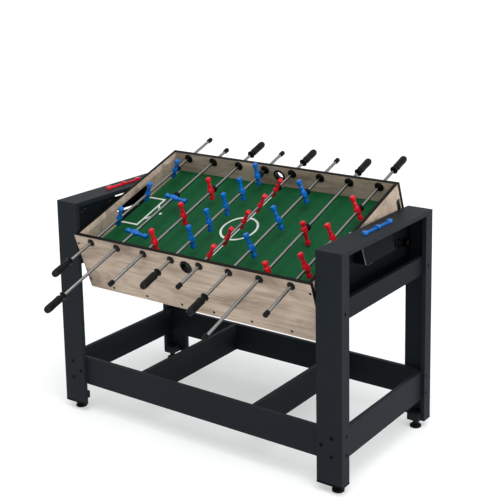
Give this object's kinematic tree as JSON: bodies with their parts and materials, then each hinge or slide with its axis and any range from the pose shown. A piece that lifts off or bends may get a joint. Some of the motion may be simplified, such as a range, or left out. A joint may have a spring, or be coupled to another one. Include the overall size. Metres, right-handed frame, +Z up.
{
  "type": "multi game table",
  "caption": "Free-standing games table: a cabinet turns over between two legged ends, with a foosball pit with sliding, spinning rods on one side and a pool bed on the other.",
  "frame": {"origin": "on the floor below the table's centre", "axes": "+X along the table's length to the end with the blue scorer, -Y to the front, +Z up"},
  "size_m": [1.219, 1.1022, 0.9575],
  "materials": {
    "charcoal_board": "matt charcoal laminate",
    "oak_board": "light greyish oak laminate with dark edge bands",
    "field": "dark green printed board with white lines",
    "cloth": "green cloth over a board",
    "cushion": "green cloth over a padded rail",
    "black_plastic": "satin black",
    "rod_blue": "bright rod with glossy blue players",
    "rod_red": "bright rod with glossy red players",
    "blue_plastic": "glossy blue",
    "red_plastic": "glossy red"
  },
  "bodies": {
    "base": {"end_top_left": "charcoal_board", "end_top_right": "charcoal_board", "side_panel_left": "charcoal_board", "side_panel_right": "charcoal_board", "ball_tray_left": "charcoal_board", "ball_tray_right": "charcoal_board", "leg_front_left": "charcoal_board", "leg_back_left": "charcoal_board", "leg_front_right": "charcoal_board", "leg_back_right": "charcoal_board", "end_rail_left": "charcoal_board", "end_rail_right": "charcoal_board", "long_rail_front": "charcoal_board", "long_rail_back": "charcoal_board", "cross_rail_left": "charcoal_board", "cross_rail_right": "charcoal_board", "scorer_left": "red_plastic", "scorer_right": "blue_plastic"},
    "cabinet": {"wall_front": "oak_board", "wall_back": "oak_board", "wall_left": "oak_board", "wall_right": "oak_board", "foosball_field": "field", "pool_bed": "cloth", "pool_cushions_left": "cushion", "pool_cushions_right": "cushion", "pocket_cups_left": "black_plastic", "pocket_cups_right": "black_plastic"},
    "bumper_ring_1": {"bumper_1": "black_plastic"},
    "rod_set_1": {"rod_1": "rod_blue", "handle_1": "black_plastic"},
    "bumper_ring_2": {"bumper_2": "black_plastic"},
    "rod_set_2": {"rod_2": "rod_blue", "handle_2": "black_plastic"},
    "bumper_ring_3": {"bumper_3": "black_plastic"},
    "rod_set_3": {"rod_3": "rod_red", "handle_3": "black_plastic"},
    "bumper_ring_4": {"bumper_4": "black_plastic"},
    "rod_set_4": {"rod_4": "rod_blue", "handle_4": "black_plastic"},
    "bumper_ring_5": {"bumper_5": "black_plastic"},
    "rod_set_5": {"rod_5": "rod_red", "handle_5": "black_plastic"},
    "bumper_ring_6": {"bumper_6": "black_plastic"},
    "rod_set_6": {"rod_6": "rod_blue", "handle_6": "black_plastic"},
    "bumper_ring_7": {"bumper_7": "black_plastic"},
    "rod_set_7": {"rod_7": "rod_red", "handle_7": "black_plastic"},
    "bumper_ring_8": {"bumper_8": "black_plastic"},
    "rod_set_8": {"rod_8": "rod_red", "handle_8": "black_plastic"},
    "leveller_front_left": {"foot_front_left": "black_plastic"},
    "leveller_back_left": {"foot_back_left": "black_plastic"},
    "leveller_front_right": {"foot_front_right": "black_plastic"},
    "leveller_back_right": {"foot_back_right": "black_plastic"},
    "lock_left": {"lock_knob_left": "black_plastic"},
    "marker_left": {"score_marker_left": "red_plastic"},
    "lock_right": {"lock_knob_right": "black_plastic"},
    "marker_right": {"score_marker_right": "blue_plastic"}
  },
  "joints": [
    {"name": "cabinet_turn", "type": "hinge", "parent": "base", "child": "cabinet", "pos_m": [0, 0, 0.6923], "axis": [1, 0, 0], "range_deg": [-199.7, 40]},
    {"name": "rod_slide_1", "type": "slide", "parent": "cabinet", "child": "bumper_ring_1", "axis": [0, 0.9415, 0.3371], "range_m": [-0.11152, 0.06152]},
    {"name": "rod_spin_1", "type": "hinge", "parent": "bumper_ring_1", "child": "rod_set_1", "pos_m": [-0.43181, -0.00838, 0.78989], "axis": [0, 0.9415, 0.3371], "continuous": true},
    {"name": "rod_slide_2", "type": "slide", "parent": "cabinet", "child": "bumper_ring_2", "axis": [0, 0.9415, 0.3371], "range_m": [-0.05194, 0.22806]},
    {"name": "rod_spin_2", "type": "hinge", "parent": "bumper_ring_2", "child": "rod_set_2", "pos_m": [-0.30844, -0.11483, 0.75177], "axis": [0, 0.9415, 0.3371], "continuous": true},
    {"name": "rod_slide_3", "type": "slide", "parent": "cabinet", "child": "bumper_ring_3", "axis": [0, 0.9415, 0.3371], "range_m": [-0.01852, 0.15452]},
    {"name": "rod_spin_3", "type": "hinge", "parent": "bumper_ring_3", "child": "rod_set_3", "pos_m": [-0.18506, -0.09595, 0.75853], "axis": [0, 0.9415, 0.3371], "continuous": true},
    {"name": "rod_slide_4", "type": "slide", "parent": "cabinet", "child": "bumper_ring_4", "axis": [0, 0.9415, 0.3371], "range_m": [-0.07552, 0.01953]},
    {"name": "rod_spin_4", "type": "hinge", "parent": "bumper_ring_4", "child": "rod_set_4", "pos_m": [-0.06169, -0.00557, 0.79089], "axis": [0, 0.9415, 0.3371], "continuous": true},
    {"name": "rod_slide_5", "type": "slide", "parent": "cabinet", "child": "bumper_ring_5", "axis": [0, 0.9415, 0.3371], "range_m": [-0.0125, 0.08255]},
    {"name": "rod_spin_5", "type": "hinge", "parent": "bumper_ring_5", "child": "rod_set_5", "pos_m": [0.06169, -0.0649, 0.76965], "axis": [0, 0.9415, 0.3371], "continuous": true},
    {"name": "rod_slide_6", "type": "slide", "parent": "cabinet", "child": "bumper_ring_6", "axis": [0, 0.9415, 0.3371], "range_m": [-0.0905, 0.08254]},
    {"name": "rod_spin_6", "type": "hinge", "parent": "bumper_ring_6", "child": "rod_set_6", "pos_m": [0.18506, -0.02818, 0.7828], "axis": [0, 0.9415, 0.3371], "continuous": true},
    {"name": "rod_slide_7", "type": "slide", "parent": "cabinet", "child": "bumper_ring_7", "axis": [0, 0.9415, 0.3371], "range_m": [-0.00056, 0.27943]},
    {"name": "rod_spin_7", "type": "hinge", "parent": "bumper_ring_7", "child": "rod_set_7", "pos_m": [0.30844, -0.1632, 0.73445], "axis": [0, 0.9415, 0.3371], "continuous": true},
    {"name": "rod_slide_8", "type": "slide", "parent": "cabinet", "child": "bumper_ring_8", "axis": [0, 0.9415, 0.3371], "range_m": [-0.04655, 0.12649]},
    {"name": "rod_spin_8", "type": "hinge", "parent": "bumper_ring_8", "child": "rod_set_8", "pos_m": [0.43181, -0.06956, 0.76798], "axis": [0, 0.9415, 0.3371], "continuous": true},
    {"name": "leveller_front_left_slide", "type": "slide", "parent": "base", "child": "leveller_front_left", "axis": [0, 0, 1], "range_m": [-0.01, 0]},
    {"name": "leveller_back_left_slide", "type": "slide", "parent": "base", "child": "leveller_back_left", "axis": [0, 0, 1], "range_m": [-0.01, 0]},
    {"name": "leveller_front_right_slide", "type": "slide", "parent": "base", "child": "leveller_front_right", "axis": [0, 0, 1], "range_m": [-0.01, 0]},
    {"name": "leveller_back_right_slide", "type": "slide", "parent": "base", "child": "leveller_back_right", "axis": [0, 0, 1], "range_m": [-0.01, 0]},
    {"name": "lock_left_pull", "type": "slide", "parent": "base", "child": "lock_left", "axis": [-1, 0, 0], "range_m": [0, 0.012], "stiffness_N_per_m": 600, "springref_m": -0.008},
    {"name": "marker_left_slide", "type": "slide", "parent": "base", "child": "marker_left", "axis": [0, 1, 0], "range_m": [-0.063, 0.063]},
    {"name": "lock_right_pull", "type": "slide", "parent": "base", "child": "lock_right", "axis": [1, 0, 0], "range_m": [0, 0.012], "stiffness_N_per_m": 600, "springref_m": -0.008},
    {"name": "marker_right_slide", "type": "slide", "parent": "base", "child": "marker_right", "axis": [0, 1, 0], "range_m": [-0.063, 0.063]}
  ]
}
